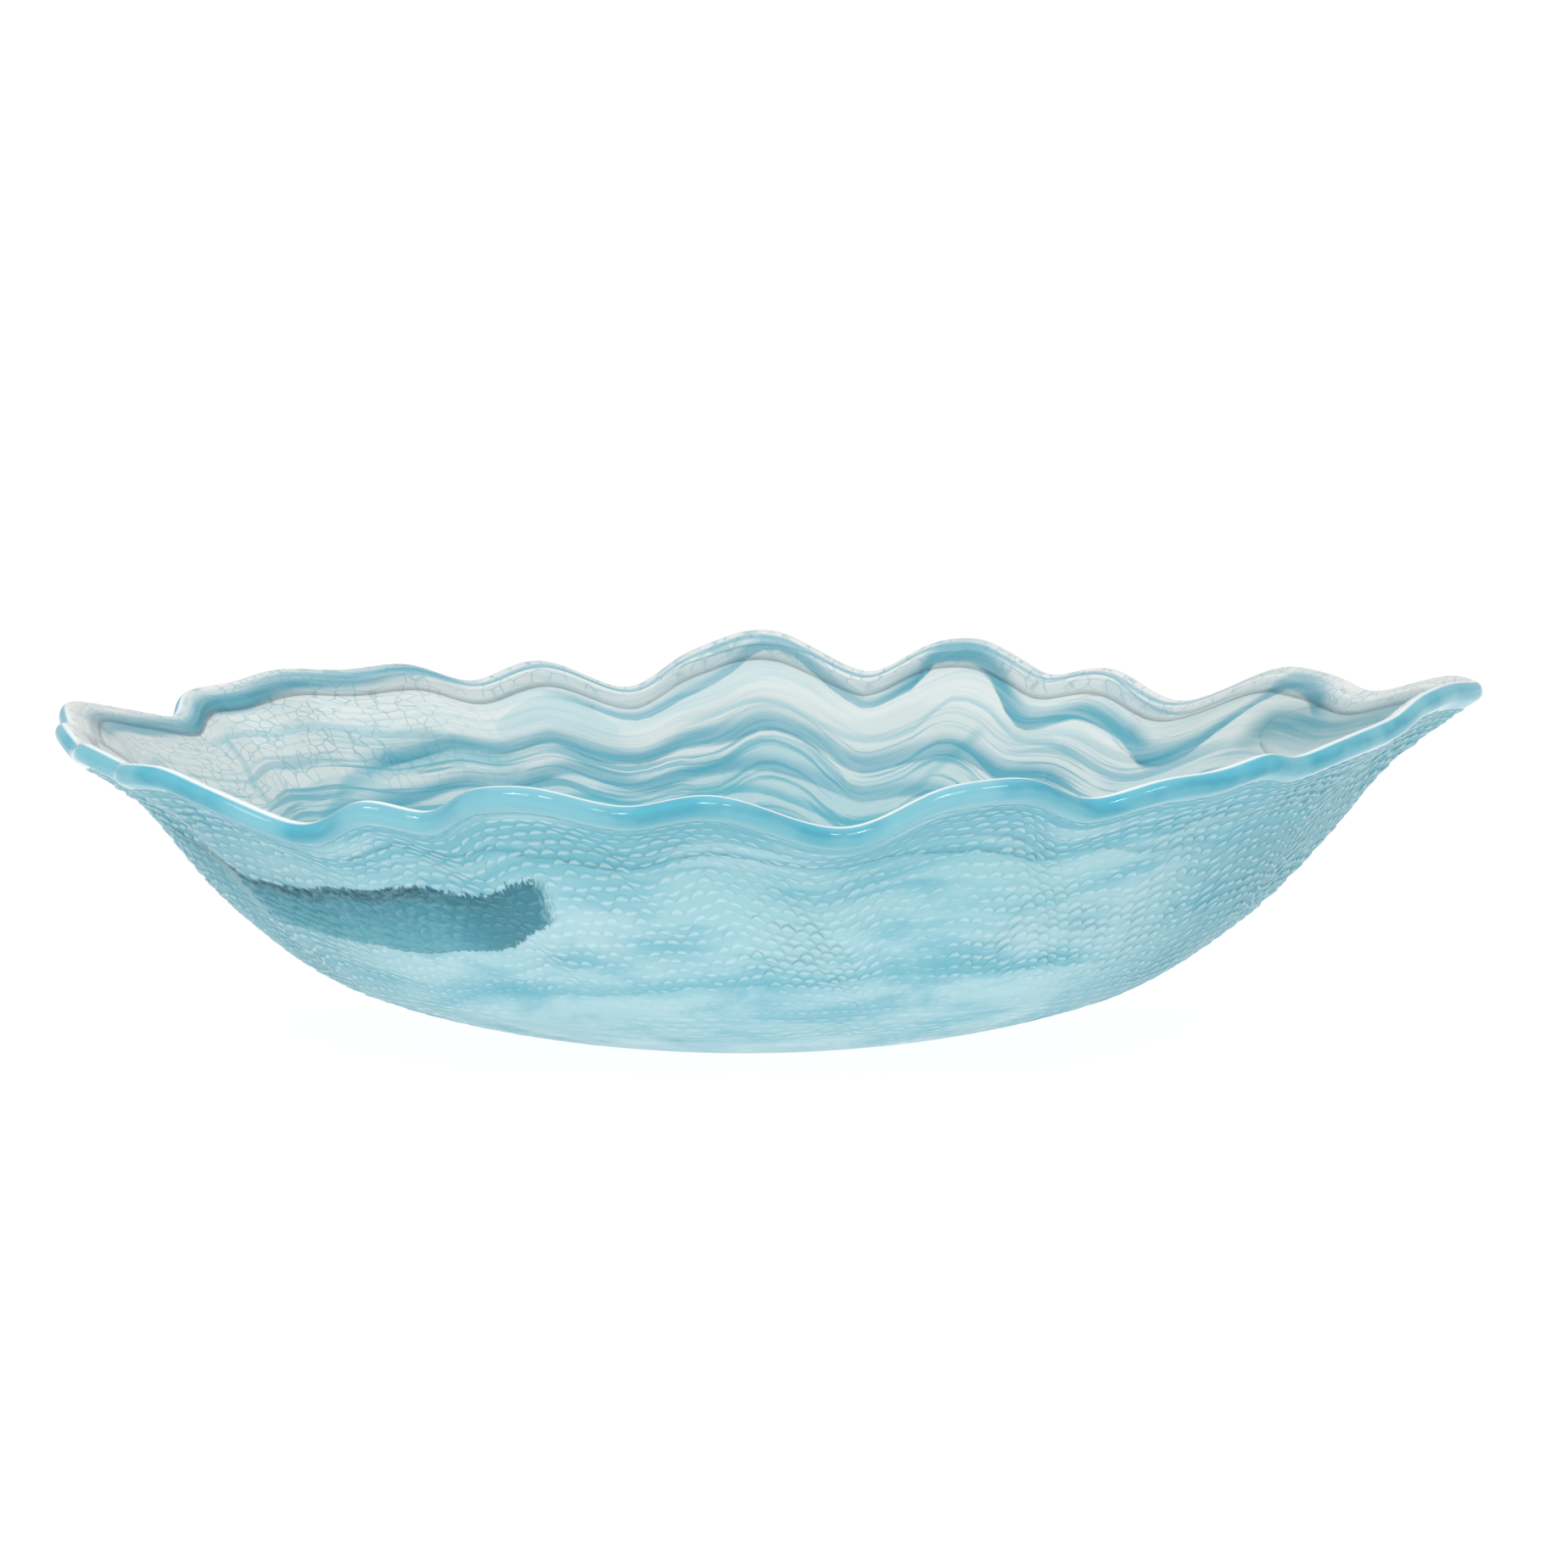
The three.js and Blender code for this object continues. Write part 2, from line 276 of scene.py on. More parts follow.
class Ring:
    """One ring of points, with what the materials and the flat layout need to know about them."""

    def __init__(self, wall, share, depth, relief=0.0, shrink=1.0, beyond=0.0):
        share = np.broadcast_to(share, wall.count)
        self.points = wall.place(share, depth, beyond=beyond)
        self.points[:, :2] *= shrink
        self.turns = wall.bearing / TURN
        self.share = share * shrink if shrink < 1 else share
        self.level = self.share
        # relief: the painted highlight on a scale's ledge, or the place across the lip
        self.relief = np.broadcast_to(relief, wall.count)

    def __len__(self):
        return len(self.points)


def stitch(start, count, next_start, next_count):
    """Faces between two rings of the same count, or where one has twice the points of the other."""
    if count == next_count:
        i = np.arange(count)
        j = (i + 1) % count
        return [np.column_stack((start + i, start + j, next_start + j, next_start + i))]
    fewer, few_start, many_start = min(count, next_count), start, next_start
    if count > next_count:
        few_start, many_start = next_start, start
    i = np.arange(fewer)
    j = (i + 1) % fewer
    first, middle, last = 2 * i, 2 * i + 1, 2 * j
    fans = [(few_start + i, few_start + j, many_start + middle),
            (few_start + i, many_start + middle, many_start + first),
            (few_start + j, many_start + last, many_start + middle)]
    faces = [np.column_stack(fan) for fan in fans]
    return faces if count < next_count else [face[:, ::-1] for face in faces]


def build(name, points, faces, turns, share, relief, parts, layout, level=None):
    """A mesh object with the wall coordinates, a flat layout, the pattern coordinates and the relief value
    (painted ledge highlight, or place across the lip).
    """
    mesh = bpy.data.meshes.new(name)
    mesh.from_pydata(points.tolist(), [], [face for group in faces for face in group.tolist()])
    counts = [len(group) * group.shape[1] for group in faces]
    corners = np.concatenate([group.ravel() for group in faces])
    sizes = np.concatenate([np.full(len(group), group.shape[1]) for group in faces])
    starts = np.repeat(np.cumsum(sizes) - sizes, sizes)
    u = turns[corners]
    u = u + (u[starts] - u > 0.5) - (u - u[starts] > 0.5)
    lowest = np.minimum.reduceat(u, np.cumsum(sizes) - sizes)
    u = u - np.repeat(np.floor(lowest + 1e-6), sizes)
    v = share[corners]
    flat = v if level is None else level[corners]
    part = np.repeat(parts, counts)
    bottom, height = np.array(layout)[part].T
    for label, across, up in ((PLACE, u, v), (LAYOUT, u / LAYOUT_WIDTH, bottom + flat * height)):
        layer = mesh.uv_layers.new(name=label)
        layer.uv.foreach_set("vector", np.column_stack((across, up)).astype(np.float32).ravel())
    angle = turns * TURN
    flow = np.column_stack((np.cos(angle) * FLOW_RADIUS, np.sin(angle) * FLOW_RADIUS, share * WALL_LENGTH))
    # relief holds the painted highlight on the scales' ledges, or the place across the lip
    attributes = ("flow", "FLOAT_VECTOR", "vector", flow), ("relief", "FLOAT", "value", relief)
    for label, kind, key, values in attributes:
        attribute = mesh.attributes.new(label, kind, "POINT")
        attribute.data.foreach_set(key, values.astype(np.float32).ravel())
    slots = np.repeat(parts, [len(group) for group in faces])
    mesh.polygons.foreach_set("material_index", slots.astype(np.int32))
    mesh.polygons.foreach_set("use_smooth", np.ones(len(mesh.polygons), bool))
    mesh.validate()
    piece = bpy.data.objects.new(name, mesh)
    bpy.context.scene.collection.objects.link(piece)
    return piece


def ring_mesh(name, rings, parts, layout, closed=False):
    """A closed mesh from rings in order. parts gives the material of each strip between two rings.
    A shell ends in a pole below its first ring and above its last; a hoop's last ring joins its first."""
    starts = np.cumsum([0] + [len(ring) for ring in rings])
    faces, face_parts = [], []

    def add(groups, part):
        faces.extend(groups)
        face_parts.extend([part] * len(groups))

    for i in range(len(rings) if closed else len(rings) - 1):
        j = (i + 1) % len(rings)
        add(stitch(starts[i], len(rings[i]), starts[j], len(rings[j])), parts[i])
    keys = ("points", "turns", "share", "relief", "level")
    gathered = [np.concatenate([getattr(ring, key) for ring in rings]) for key in keys]
    points, turns, share, relief, level = gathered
    if not closed:
        ends = (rings[0], starts[0], parts[0], 1), (rings[-1], starts[-2], parts[-1], -1)
        for ring, start, part, flip in ends:
            i = np.arange(len(ring))
            pole = np.full(len(ring), len(points))
            fan = np.column_stack((start + (i + 1) % len(ring), start + i, pole))
            add([fan[:, ::flip]], part)
            centre = ring.points.mean(axis=0) * (0, 0, 1)
            points = np.vstack((points, centre))
            turns, share, relief = np.append(turns, 0.5), np.append(share, 0.0), np.append(relief, 0.0)
            level = np.append(level, 0.0)
    return build(name, points, faces, turns, share, relief, np.array(face_parts), layout, level)


# ---------- the outer casing ----------

PITCH = length_at(CASING_TOP) / SCALE_ROWS
FOOT_RINGS = (0.4, 0.75, 0.97)            # radii of the rings on the foot's face, over that of its edge
LINING_RINGS = ((FINE, (0.954,)), (COARSE, (0.94,)), (FOOT, np.linspace(0.92, 0, 24)))
FOOT_EDGE = 0.004             # share of the wall at which the foot's face has rounded into the wall


def row_edge(row, columns, fade):
    """How far up the wall the upper edges of one row of scales run, at each mesh column."""
    scales = columns // 4
    shift = 2 * (row % 2)
    column = (np.arange(columns) + shift) % columns
    scale, place = column // 4, column % 4
    bulge = dice.uniform(*BULGES, scales) * np.where(dice.random(scales) < FLAT_SCALES, FLAT_BULGE, 1)
    lift = dice.uniform(*LIFTS, scales)
    ends = (lift + np.roll(lift, 1)) / 2
    around = np.arange(columns) / columns * TURN
    wave = sum(size * np.sin(count * around + phase + more * row) for size, count, phase, more in ROW_WAVES)
    arc = np.take(ARC, place) * bulge[scale] + np.where(place == 0, ends[scale], lift[scale])
    return PITCH * (row + fade * (arc + wave))


def edge_fade(row):
    """Rows keep level at the foot, at the lip and where the mesh doubles its columns."""
    level_rows = (0, COARSE_ROWS, SCALE_ROWS)
    return math.prod(float(smooth(abs(row - level), 0, FADE_ROWS)) for level in level_rows)


def relief_strength(wall, share):
    """How strong the relief is: none near the foot, and softer in the middle of the long sides."""
    place = wall.place(share, 0.0)
    started = smooth(share, *RELIEF_STARTS)
    ends = smooth(np.abs(place[..., 0]), *END_LENGTHS)
    calm = 1 - CALM * (1 - smooth(share, *CALM_SHARES)) * (1 - END_GAIN * ends)
    rim = 1 - CALM_AT_RIM * smooth(share, *RIM_SHARES)
    patchy = UNEVEN_MEAN + UNEVEN_SWING * soft_noise(place, UNEVEN_SIZE)
    return started * calm * rim * np.clip(patchy, *UNEVEN_LIMITS)


def scale_rings(wall, first, last, steps):
    """The rings of some rows of scales. Each row rises to a ledge at its scales' upper edges, where a
    highlight is painted.
    """
    rings = []
    lower = row_edge(first, wall.count, edge_fade(first))
    for row in range(first, last):
        upper = row_edge(row + 1, wall.count, edge_fade(row + 1))
        bold = dice.uniform(*BOLDNESS, wall.count // 4)
        column = (np.arange(wall.count) + 2 * ((row + 1) % 2)) % wall.count
        for place, height in steps:
            share = share_at(lower + place * (upper - lower))
            strength = relief_strength(wall, share) * bold[column // 4]
            raised = height * np.take(CREST, column % 4)
            # painted highlight: how much lighter the colour is along the ledge at a scale's upper edge
            edge = np.take(EDGE_HIGHLIGHT, column % 4) * (height == 1.0)
            seen = edge * np.clip(HIGHLIGHT_ANYWAY + strength, 0, 1)
            rings.append(Ring(wall, share, RELIEF * strength * (SUNK - raised), relief=seen))
        lower = upper
    return rings


def lining_rings():
    """The outer casing's inner face, from its end down to the middle."""
    return [Ring(wall, share, LINING_DEPTH) for wall, shares in LINING_RINGS for share in shares]


def outer_casing():
    foot = [Ring(FOOT, 0.0, 0.0, shrink=size) for size in FOOT_RINGS]
    foot.append(Ring(FOOT, FOOT_EDGE, 0.0))
    outside = foot + scale_rings(COARSE, 0, COARSE_ROWS, COARSE_STEPS)
    outside += scale_rings(FINE, COARSE_ROWS, SCALE_ROWS, FINE_STEPS) + [Ring(FINE, CASING_TOP, 0.0)]
    inside = lining_rings()
    parts = [0] * (len(outside) - 1) + [1] * len(inside)
    return ring_mesh("textured_outer_glass", outside + inside, parts, ((0.0, 0.49), (0.51, 0.49)))


# ---------- the clear casing and the lip ----------

CLEAR_SHARES = np.linspace(FOOT_EDGE, 0.953, 44)    # where the clear casing's rings lie


def clear_casing():
    outer = [Ring(COARSE, share, CLEAR_DEPTHS[0]) for share in CLEAR_SHARES]
    inner = [Ring(COARSE, share, CLEAR_DEPTHS[1]) for share in CLEAR_SHARES[::-1]]
    parts = [0] * (len(CLEAR_SHARES) * 2 - 1)
    return ring_mesh("clear_inner_glass", outer + inner, parts, ((0.0, 1.0),))


LIP_ROOT = 0.94               # where the lip's glass leaves the wall
LIP_RINGS = 6                 # rings from there up to the bead
LIP_SUNK = 0.12 * MM          # how far inside the wall's faces it starts
LIP_SWELL, LIP_SWOLLEN = 0.17 * MM, 0.975     # how much thicker it gets on each side, and where it is done
LIP_ROUND = 2.95 * MM         # radius of the lip's bead
LIP_TURNS = 12                # steps over the bead
# Below its inner root the lip's glass thins out inside the wall, down to the lining: share, depth.
LIP_TAPER = ((0.93, 4.6 * MM), (0.92, 3.4 * MM), (0.905, 1.9 * MM))


def lip():
    """A rounded bead that grows out of the wall and closes its edge."""
    middle = WALL / 2
    rings = []
    rise = np.linspace(LIP_ROOT, 1, LIP_RINGS)[:-1]
    proud = LIP_SWELL * smooth(rise, LIP_ROOT, LIP_SWOLLEN) - LIP_SUNK
    for share, out in zip(rise, proud):
        rings.append(Ring(FINE, share, -out))
    for turn in np.linspace(-90, 90, LIP_TURNS + 1):
        side = math.sin(math.radians(turn)) * LIP_ROUND
        top = math.cos(math.radians(turn)) * LIP_ROUND
        rings.append(Ring(FINE, 1.0, middle + side, beyond=top))
    for share, out in zip(rise[::-1], proud[::-1]):
        rings.append(Ring(FINE, share, WALL + out))
    for index, ring in enumerate(rings):
        ring.relief = ring.level = ring.share * 0 + index / (len(rings) - 1)
    rings += [Ring(FINE, share, depth, relief=1.0) for share, depth in LIP_TAPER]
    return ring_mesh("rounded_lip_glass", rings, [0] * len(rings), ((0.0, 1.0),), closed=True)


# ---------- the streaks of colour ----------

# Each streak: its node, its tint, the widths in mm over which it fades below and above its course, how
# strongly it colours the inside and the outside, and the course: bearing in degrees, share of the wall.
STREAKS = [
    ("aqua_ribbon_back_left", "deep", 4.5, 15.0, 1.0, 0.35,
     [(114, 0.975), (119, 0.965), (125, 0.945), (129, 0.938), (134, 0.93), (139, 0.922), (143, 0.91),
      (146, 0.925), (150, 0.925), (154, 0.91), (158, 0.89), (163, 0.885), (172, 0.9)]),
    ("aqua_ribbon_back_rim", "deep", 1.4, 9.0, 0.8, 0.3,
     [(69, 0.92), (73, 0.925), (75, 0.855), (77.5, 0.85), (80, 0.874), (84, 0.915), (87, 0.935),
      (90, 0.912), (92.5, 0.865), (96, 0.85), (100, 0.855), (105, 0.86), (110, 0.875)]),
    ("aqua_ribbon_back_right", "deep", 2.5, 17.0, 1.0, 0.4,
     [(22, 0.87), (26, 0.89), (30, 0.92), (33, 0.925), (36, 0.885), (39, 0.77), (43, 0.72), (48, 0.765),
      (53, 0.815), (57, 0.815), (60.5, 0.79), (64, 0.82), (67, 0.89), (70, 0.925), (73, 0.925),
      (75, 0.855), (79, 0.86)]),
    ("aqua_ribbon_back_mid", "deep", 1.5, 8.0, 0.85, 0.3,
     [(52, 0.645), (57, 0.652), (62, 0.662), (68, 0.677), (74, 0.66), (79, 0.676), (84, 0.708), (88, 0.711),
      (92, 0.693), (97, 0.707), (102, 0.705), (106, 0.693), (111, 0.724), (118, 0.718), (126, 0.7),
      (134, 0.67)]),
    ("aqua_ribbon_back_low", "deep", 1.5, 5.5, 0.75, 0.3,
     [(62, 0.6), (70, 0.605), (76, 0.61), (81, 0.634), (88, 0.641), (95, 0.644), (103, 0.65), (111, 0.658),
      (120, 0.645), (130, 0.62), (138, 0.6)]),
    ("teal_ribbon_right_end", "teal", 20.0, 17.0, 1.0, 0.35,
     [(2, 0.85), (8, 0.86), (14, 0.855), (20, 0.845), (26, 0.83), (31, 0.81), (36, 0.78)]),
    ("aqua_ribbon_left_end", "aqua", 2.5, 4.0, 0.5, 0.3,
     [(166, 0.84), (176, 0.82), (186, 0.82), (196, 0.83), (210, 0.87)]),
    ("aqua_ribbon_front_high", "aqua", 1.0, 6.0, 0.6, 0.35,
     [(236, 0.83), (247, 0.81), (252, 0.75), (257, 0.74), (265, 0.77), (272, 0.79), (279, 0.81),
      (286, 0.76), (294, 0.75), (302, 0.77), (308, 0.73), (316, 0.72), (324, 0.73), (342, 0.69)]),
    ("teal_ribbon_front_left", "teal", 7.0, 7.0, 0.7, 0.0,
     [(204, 0.655), (214, 0.64), (224, 0.62), (235, 0.64), (245, 0.645), (254, 0.65)]),
    ("aqua_ribbon_front_low", "aqua", 3.0, 5.0, 0.5, 0.3,
     [(226, 0.43), (242, 0.475), (253, 0.485), (263, 0.5), (272, 0.51), (291, 0.52), (312, 0.525)]),
]

# Fainter colour in the milky lining itself: tint, widths below and above, strength inside, course.
WISPS = [
    ("aqua", 1.0, 4.0, 0.4,
     [(52, 0.7), (58, 0.72), (64, 0.766), (68, 0.8), (71, 0.78), (74, 0.715), (79, 0.736), (84, 0.754),
      (88, 0.768), (93, 0.752), (98, 0.75)]),
    ("aqua", 1.2, 6.0, 0.5,
     [(112, 0.74), (118, 0.725), (124, 0.742), (131, 0.763), (137, 0.789), (143, 0.8), (149, 0.845),
      (154, 0.87)]),
    ("aqua", 5.0, 3.0, 0.6,
     [(112, 0.705), (118, 0.705), (124, 0.698), (132, 0.677), (137, 0.649), (142, 0.61), (147, 0.57)]),
    ("deep", 1.2, 1.2, 0.7,
     [(77, 0.972), (80, 0.975), (84, 0.97), (88, 0.94), (92, 0.94), (96, 0.955), (101, 0.97), (110, 0.97),
      (118, 0.975)]),
    ("deep", 1.0, 2.0, 0.6,
     [(38, 0.94), (43, 0.913), (48, 0.93), (53, 0.95), (58, 0.97), (64, 0.95), (70, 0.96)]),
]
# The lowest streaks at the back run alongside each other, each this far below one course.
LOW_COURSE = [(66, 0.6), (76, 0.605), (88, 0.636), (103, 0.645), (120, 0.64), (132, 0.61)]
LOW_DROPS = (0.035, 0.066, 0.095)
WISPS += [("aqua", 0.8, 3.0, 0.8, [(bearing, share - drop) for bearing, share in LOW_COURSE])
          for drop in LOW_DROPS]

# Thin strokes that run down the lining: share of the wall from low to high, with the bearing there.
STROKES = [
    [(0.65, 149), (0.7, 150), (0.76, 149), (0.85, 148)],
    [(0.6, 71.5), (0.646, 70), (0.669, 68.5), (0.706, 67), (0.757, 66)],
    [(0.739, 161), (0.78, 162), (0.803, 165), (0.85, 163)],
]
STROKE_WIDTHS = (1.1 / 360, 0.1 / 360)    # turns to either side at which a stroke ends and is full
STROKE_FADE = 0.03            # share of the wall over which its ends fade

# Fine lines in the outside, and the dull bands that lie above them: colour, strength of the line and of the
# band, course.
SEAMS = [
    ("#5a97a6", 0.8, 0.4,
     [(214, 0.83), (228, 0.84), (240, 0.83), (247, 0.81), (252, 0.75), (257, 0.74), (265, 0.78),
      (272, 0.79), (279, 0.83), (286, 0.76), (294, 0.75), (300, 0.77)]),
    ("#6ea3b0", 0.6, 0.3,
     [(250, 0.83), (258, 0.8), (266, 0.84), (274, 0.87), (280, 0.88), (288, 0.82), (296, 0.8),
      (302, 0.77), (308, 0.73), (316, 0.72), (324, 0.73), (334, 0.7), (346, 0.69)]),
    ("#6a9fac", 0.6, 0.3, [(292, 0.86), (300, 0.85), (308, 0.81), (316, 0.8), (326, 0.81), (338, 0.79)]),
    ("#62b3c4", 0.55, 0.5,
     [(222, 0.4), (228, 0.43), (242, 0.48), (253, 0.48), (263, 0.5), (272, 0.51), (282, 0.52),
      (291, 0.52), (307, 0.52), (316, 0.51)]),
    ("#5a97a6", 0.6, 0.4,
     [(14, 0.7), (35, 0.74), (52, 0.71), (70, 0.77), (88, 0.74), (105, 0.78), (124, 0.73), (142, 0.75),
      (166, 0.71)]),
    ("#62b3c4", 0.55, 0.5, [(40, 0.5), (62, 0.53), (86, 0.51), (110, 0.54), (136, 0.5)]),
]

# The teal patch on the outside: its ragged upper and lower edges.
PATCH_TOP = [(196, 0.75), (205, 0.72), (214, 0.69), (218, 0.655), (224, 0.66), (230, 0.7), (235, 0.71),
             (240, 0.695), (245, 0.685), (249, 0.69), (254, 0.7)]
PATCH_BOTTOM = [(196, 0.61), (206, 0.59), (218, 0.565), (224, 0.56), (230, 0.565), (240, 0.56), (245, 0.57),
                (249, 0.59), (254, 0.63)]

# Lens-shaped veils inside, where the glass is thicker: bearing, share, half their width in degrees, half
# their height, strength.
VEILS = [(109, 0.79, 6.5, 0.085, 0.35), (86, 0.635, 7, 0.065, 0.45), (89, 0.95, 6, 0.05, 0.35),
         (70, 0.955, 5, 0.05, 0.35), (98, 0.6, 9, 0.09, 0.3), (138, 0.56, 12, 0.12, 0.3),
         (52, 0.93, 5, 0.05, 0.35), (240, 0.7, 12, 0.12, 0.3), (300, 0.75, 14, 0.1, 0.3)]

STREAK_FADE, SEAM_FADE = 5 / 360, 4 / 360    # turns over which the ends of streaks and seams fade
RIBBON_TIP = 0.2              # a ribbon's width at its ends, as a share of its widest
RIBBON_EDGE = 0.05            # its thickness at its long edges, as a share of its thickest
RIBBON_INSET = 5              # degrees that it stops short of its streak's ends
RIBBON_STEPS = 9              # points across it


def ribbon(name, below, above, course):
    """A thin strip of glass that follows its streak, with its faces inside the two casings."""
    bearings, shares = np.array(course).T
    degrees = np.degrees(FINE.bearing) % 360
    first, last = bearings[0] + RIBBON_INSET, bearings[-1] - RIBBON_INSET
    columns = np.flatnonzero((degrees >= first) & (degrees <= last))
    here = degrees[columns]
    centre = spline(bearings, here) @ shares
    along = (here - first) / (last - first)
    taper = RIBBON_TIP + (1 - RIBBON_TIP) * np.sqrt(np.sin(math.pi * np.clip(along, 0, 1)))
    steps = np.linspace(1, 0, RIBBON_STEPS)[:, None]
    low = centre - below * MM * taper / WALL_LENGTH
    high = np.minimum(centre + above * MM * taper / WALL_LENGTH, CASING_TOP)
    share = low + (high - low) * steps
    top, bottom = RIBBON_DEPTHS
    crown = bottom + (top - bottom) * (RIBBON_EDGE + (1 - RIBBON_EDGE) * np.sin(math.pi * steps))
    crown = crown * np.ones_like(share)
    sides = [FINE.place(part, depth, columns) for part, depth in ((share, bottom), (share[::-1], crown))]
    points = np.concatenate(sides).transpose(1, 0, 2)
    rows, corners = points.shape[:2]
    grid = np.arange(rows * corners).reshape(rows, corners)
    lower, upper = grid[:-1], grid[1:]
    next_lower, next_upper = (np.roll(part, -1, axis=1) for part in (lower, upper))
    sheet = np.stack([part.ravel() for part in (lower, next_lower, next_upper, upper)], axis=1)
    half = corners // 2
    ends = []
    for row, flip in ((grid[0], -1), (grid[-1], 1)):
        near, far = row[:half], row[half:][::-1]
        ends.append(np.stack((near[:-1], near[1:], far[1:], far[:-1]), axis=1)[:, ::flip])
    share_of = np.concatenate((share, share[::-1])).T.ravel()
    turns = np.repeat(here / 360, corners)
    return build(name + "_glass", points.reshape(-1, 3), [sheet, *ends], turns, share_of,
                 np.zeros(rows * corners), np.zeros(3, int), ((0.0, 1.0),))


# ---------- node materials ----------

def colour(code):
    """A colour written as #rrggbb, as the linear numbers that nodes take."""
    parts = [int(code[i:i + 2], 16) / 255 for i in (1, 3, 5)]
    return tuple(p / 12.92 if p <= 0.04045 else ((p + 0.055) / 1.055) ** 2.4 for p in parts) + (1.0,)


class Paint:
    """A material with one Principled shader, and short ways to add the nodes that colour it."""

    def __init__(self, name, **values):
        self.material = bpy.data.materials.new(name)
        self.material.use_nodes = True
        self.nodes = self.material.node_tree.nodes
        self.shader = self.nodes["Principled BSDF"]
        self.feed(self.shader, **values)

    def feed(self, node, **values):
        """Wires values to a node's inputs by their names, with _ for a space."""
        for name, value in values.items():
            self.wire(value, node.inputs[name.replace("_", " ")])

    def wire(self, value, socket):
        """Links a node's output to a socket, or gives the socket a number, a vector or a #rrggbb colour."""
        if isinstance(value, bpy.types.NodeSocket):
            self.material.node_tree.links.new(value, socket)
        else:
            socket.default_value = colour(value) if isinstance(value, str) else value

    def node(self, kind, *inputs, **settings):
        made = self.nodes.new(kind)
        for key, value in settings.items():
            setattr(made, key, value)
        for socket, value in zip(made.inputs, inputs):
            self.wire(value, socket)
        return made

    def math(self, operation, *values):
        return self.node("ShaderNodeMath", *values, operation=operation).outputs[0]

    def times(self, a, b):
        return self.math("MULTIPLY", a, b)

    def less(self, a, b):
        return self.math("SUBTRACT", a, b)

    def ramp(self, factor, *stops):
        """Grey or colour by factor: stops are (place, value), where a value is a grey or a #rrggbb code."""
        made = self.node("ShaderNodeValToRGB", factor)
        ramp = made.color_ramp
        ramp.interpolation = "EASE"
        for _ in stops[2:]:
            ramp.elements.new(0.5)
        for element, (place, value) in zip(ramp.elements, stops):
            element.position = place
            element.color = colour(value) if isinstance(value, str) else (value, value, value, 1)
        return made.outputs[0]

    def rise(self, value, low, high):
        """0 below low, 1 above high, smooth between."""
        made = self.node("ShaderNodeMapRange", value, low, high, 0.0, 1.0, interpolation_type="SMOOTHSTEP")
        return made.outputs[0]

    def span(self, value, rising, falling):
        """From 0 to 1 over the first pair of values, and back to 0 over the second."""
        return self.times(self.rise(value, *rising), self.rise(value, *falling))

    def mix(self, factor, a, b):
        made = self.nodes.new("ShaderNodeMix")
        made.data_type = "RGBA"
        for key, value in (("Factor_Float", factor), ("A_Color", a), ("B_Color", b)):
            self.wire(value, next(s for s in made.inputs if s.identifier == key))
        return next(s for s in made.outputs if s.identifier == "Result_Color")

    def curve(self, x, points):
        """A smooth function through these points, all within 0 to 1."""
        made = self.nodes.new("ShaderNodeFloatCurve")
        self.feed(made, Factor=1.0, Value=x)
        line = made.mapping.curves[0]
        for place, value in points[2:]:
            line.points.new(place, value)
        for point, (place, value) in zip(line.points, points):
            point.location = (place, value)
        made.mapping.update()
        return made.outputs[0]

    def noise(self, vector, size, detail=3.0, rough=0.55, stretch=(1, 1), twist=0.0):
        """Noise with features of this size in metres, drawn out by stretch round the bowl and up it."""
        along, up = stretch
        scaled = self.node("ShaderNodeVectorMath", vector, operation="MULTIPLY")
        scaled.inputs[1].default_value = [1 / (size * s) for s in (along, along, up)]
        made = self.nodes.new("ShaderNodeTexNoise")
        self.feed(made, Vector=scaled.outputs[0], Scale=1.0)
        self.feed(made, Detail=detail, Roughness=rough, Distortion=twist)
        return made.outputs["Fac"]

    def attribute(self, name):
        made = self.node("ShaderNodeAttribute", attribute_name=name)
        return made.outputs["Vector" if name == "flow" else "Fac"]

    def place(self):
        """Turns round the oval (0 to 1) and share of the wall."""
        made = self.node("ShaderNodeSeparateXYZ", self.node("ShaderNodeUVMap", uv_map=PLACE).outputs[0])
        turns = self.math("FRACT", made.outputs[0])
        return turns, made.outputs[1]


PALETTE = {
    "deep": "#1f9fb6",
    "aqua": "#45b3c6",
    "teal": "#3c9dad",
}
# The course that the fine lines of the lining run along: its waves follow the ruffles at the back.
LAYERS = [(0, 0.70), (30, 0.69), (46, 0.64), (57, 0.655), (63, 0.665), (69, 0.69), (75, 0.65), (81, 0.69),
          (87, 0.725), (94, 0.69), (99, 0.71), (105, 0.695), (112, 0.725), (120, 0.715), (130, 0.71),
          (140, 0.73), (180, 0.72), (240, 0.68), (300, 0.73), (360, 0.70)]
LAYERS_LEVEL = 0.7            # about the mean of that course

# How shades change up the wall, from foot to lip, and across the patch and the lip.
LINING_SHADES = (0.1, "#8cc3ce"), (0.56, "#a6d1d8"), (0.68, "#c8dde0"), (0.76, "#e4e8e7"), (1.0, "#ebebe9")
OUTSIDE_SHADES = ((0.0, "#84b4be"), (0.3, "#93c5cf"), (0.5, "#aed8e1"), (0.7, "#a0d1da"), (0.82, "#7abccb"),
                  (1.0, "#5fadbe"))
PATCH_SHADES = ((0.0, "#246272"), (0.05, "#5aa5b5"), (0.3, "#4a9aac"), (0.66, "#3a8a9d"), (0.84, "#1c6073"),
                (1.0, "#134e60"))
LIP_SHADES = (0.18, "#76b9c7"), (0.32, "#5fb0c3"), (0.42, "#4aa4ba"), (0.55, "#56b4c9")
# Turns between which the cells inside the left end and the line on the crests at the back fade in and out.
LEFT_END = (0.3, 0.36), (0.58, 0.5)
BACK_CRESTS = (0.09, 0.14), (0.36, 0.30)
CELL_SIZE = 4.6 * MM          # of the scales of the outside, as seen through the glass


def in_turns(course):
    """A course with its bearings as turns, for a node curve."""
    return [(bearing / 360, height) for bearing, height in course]


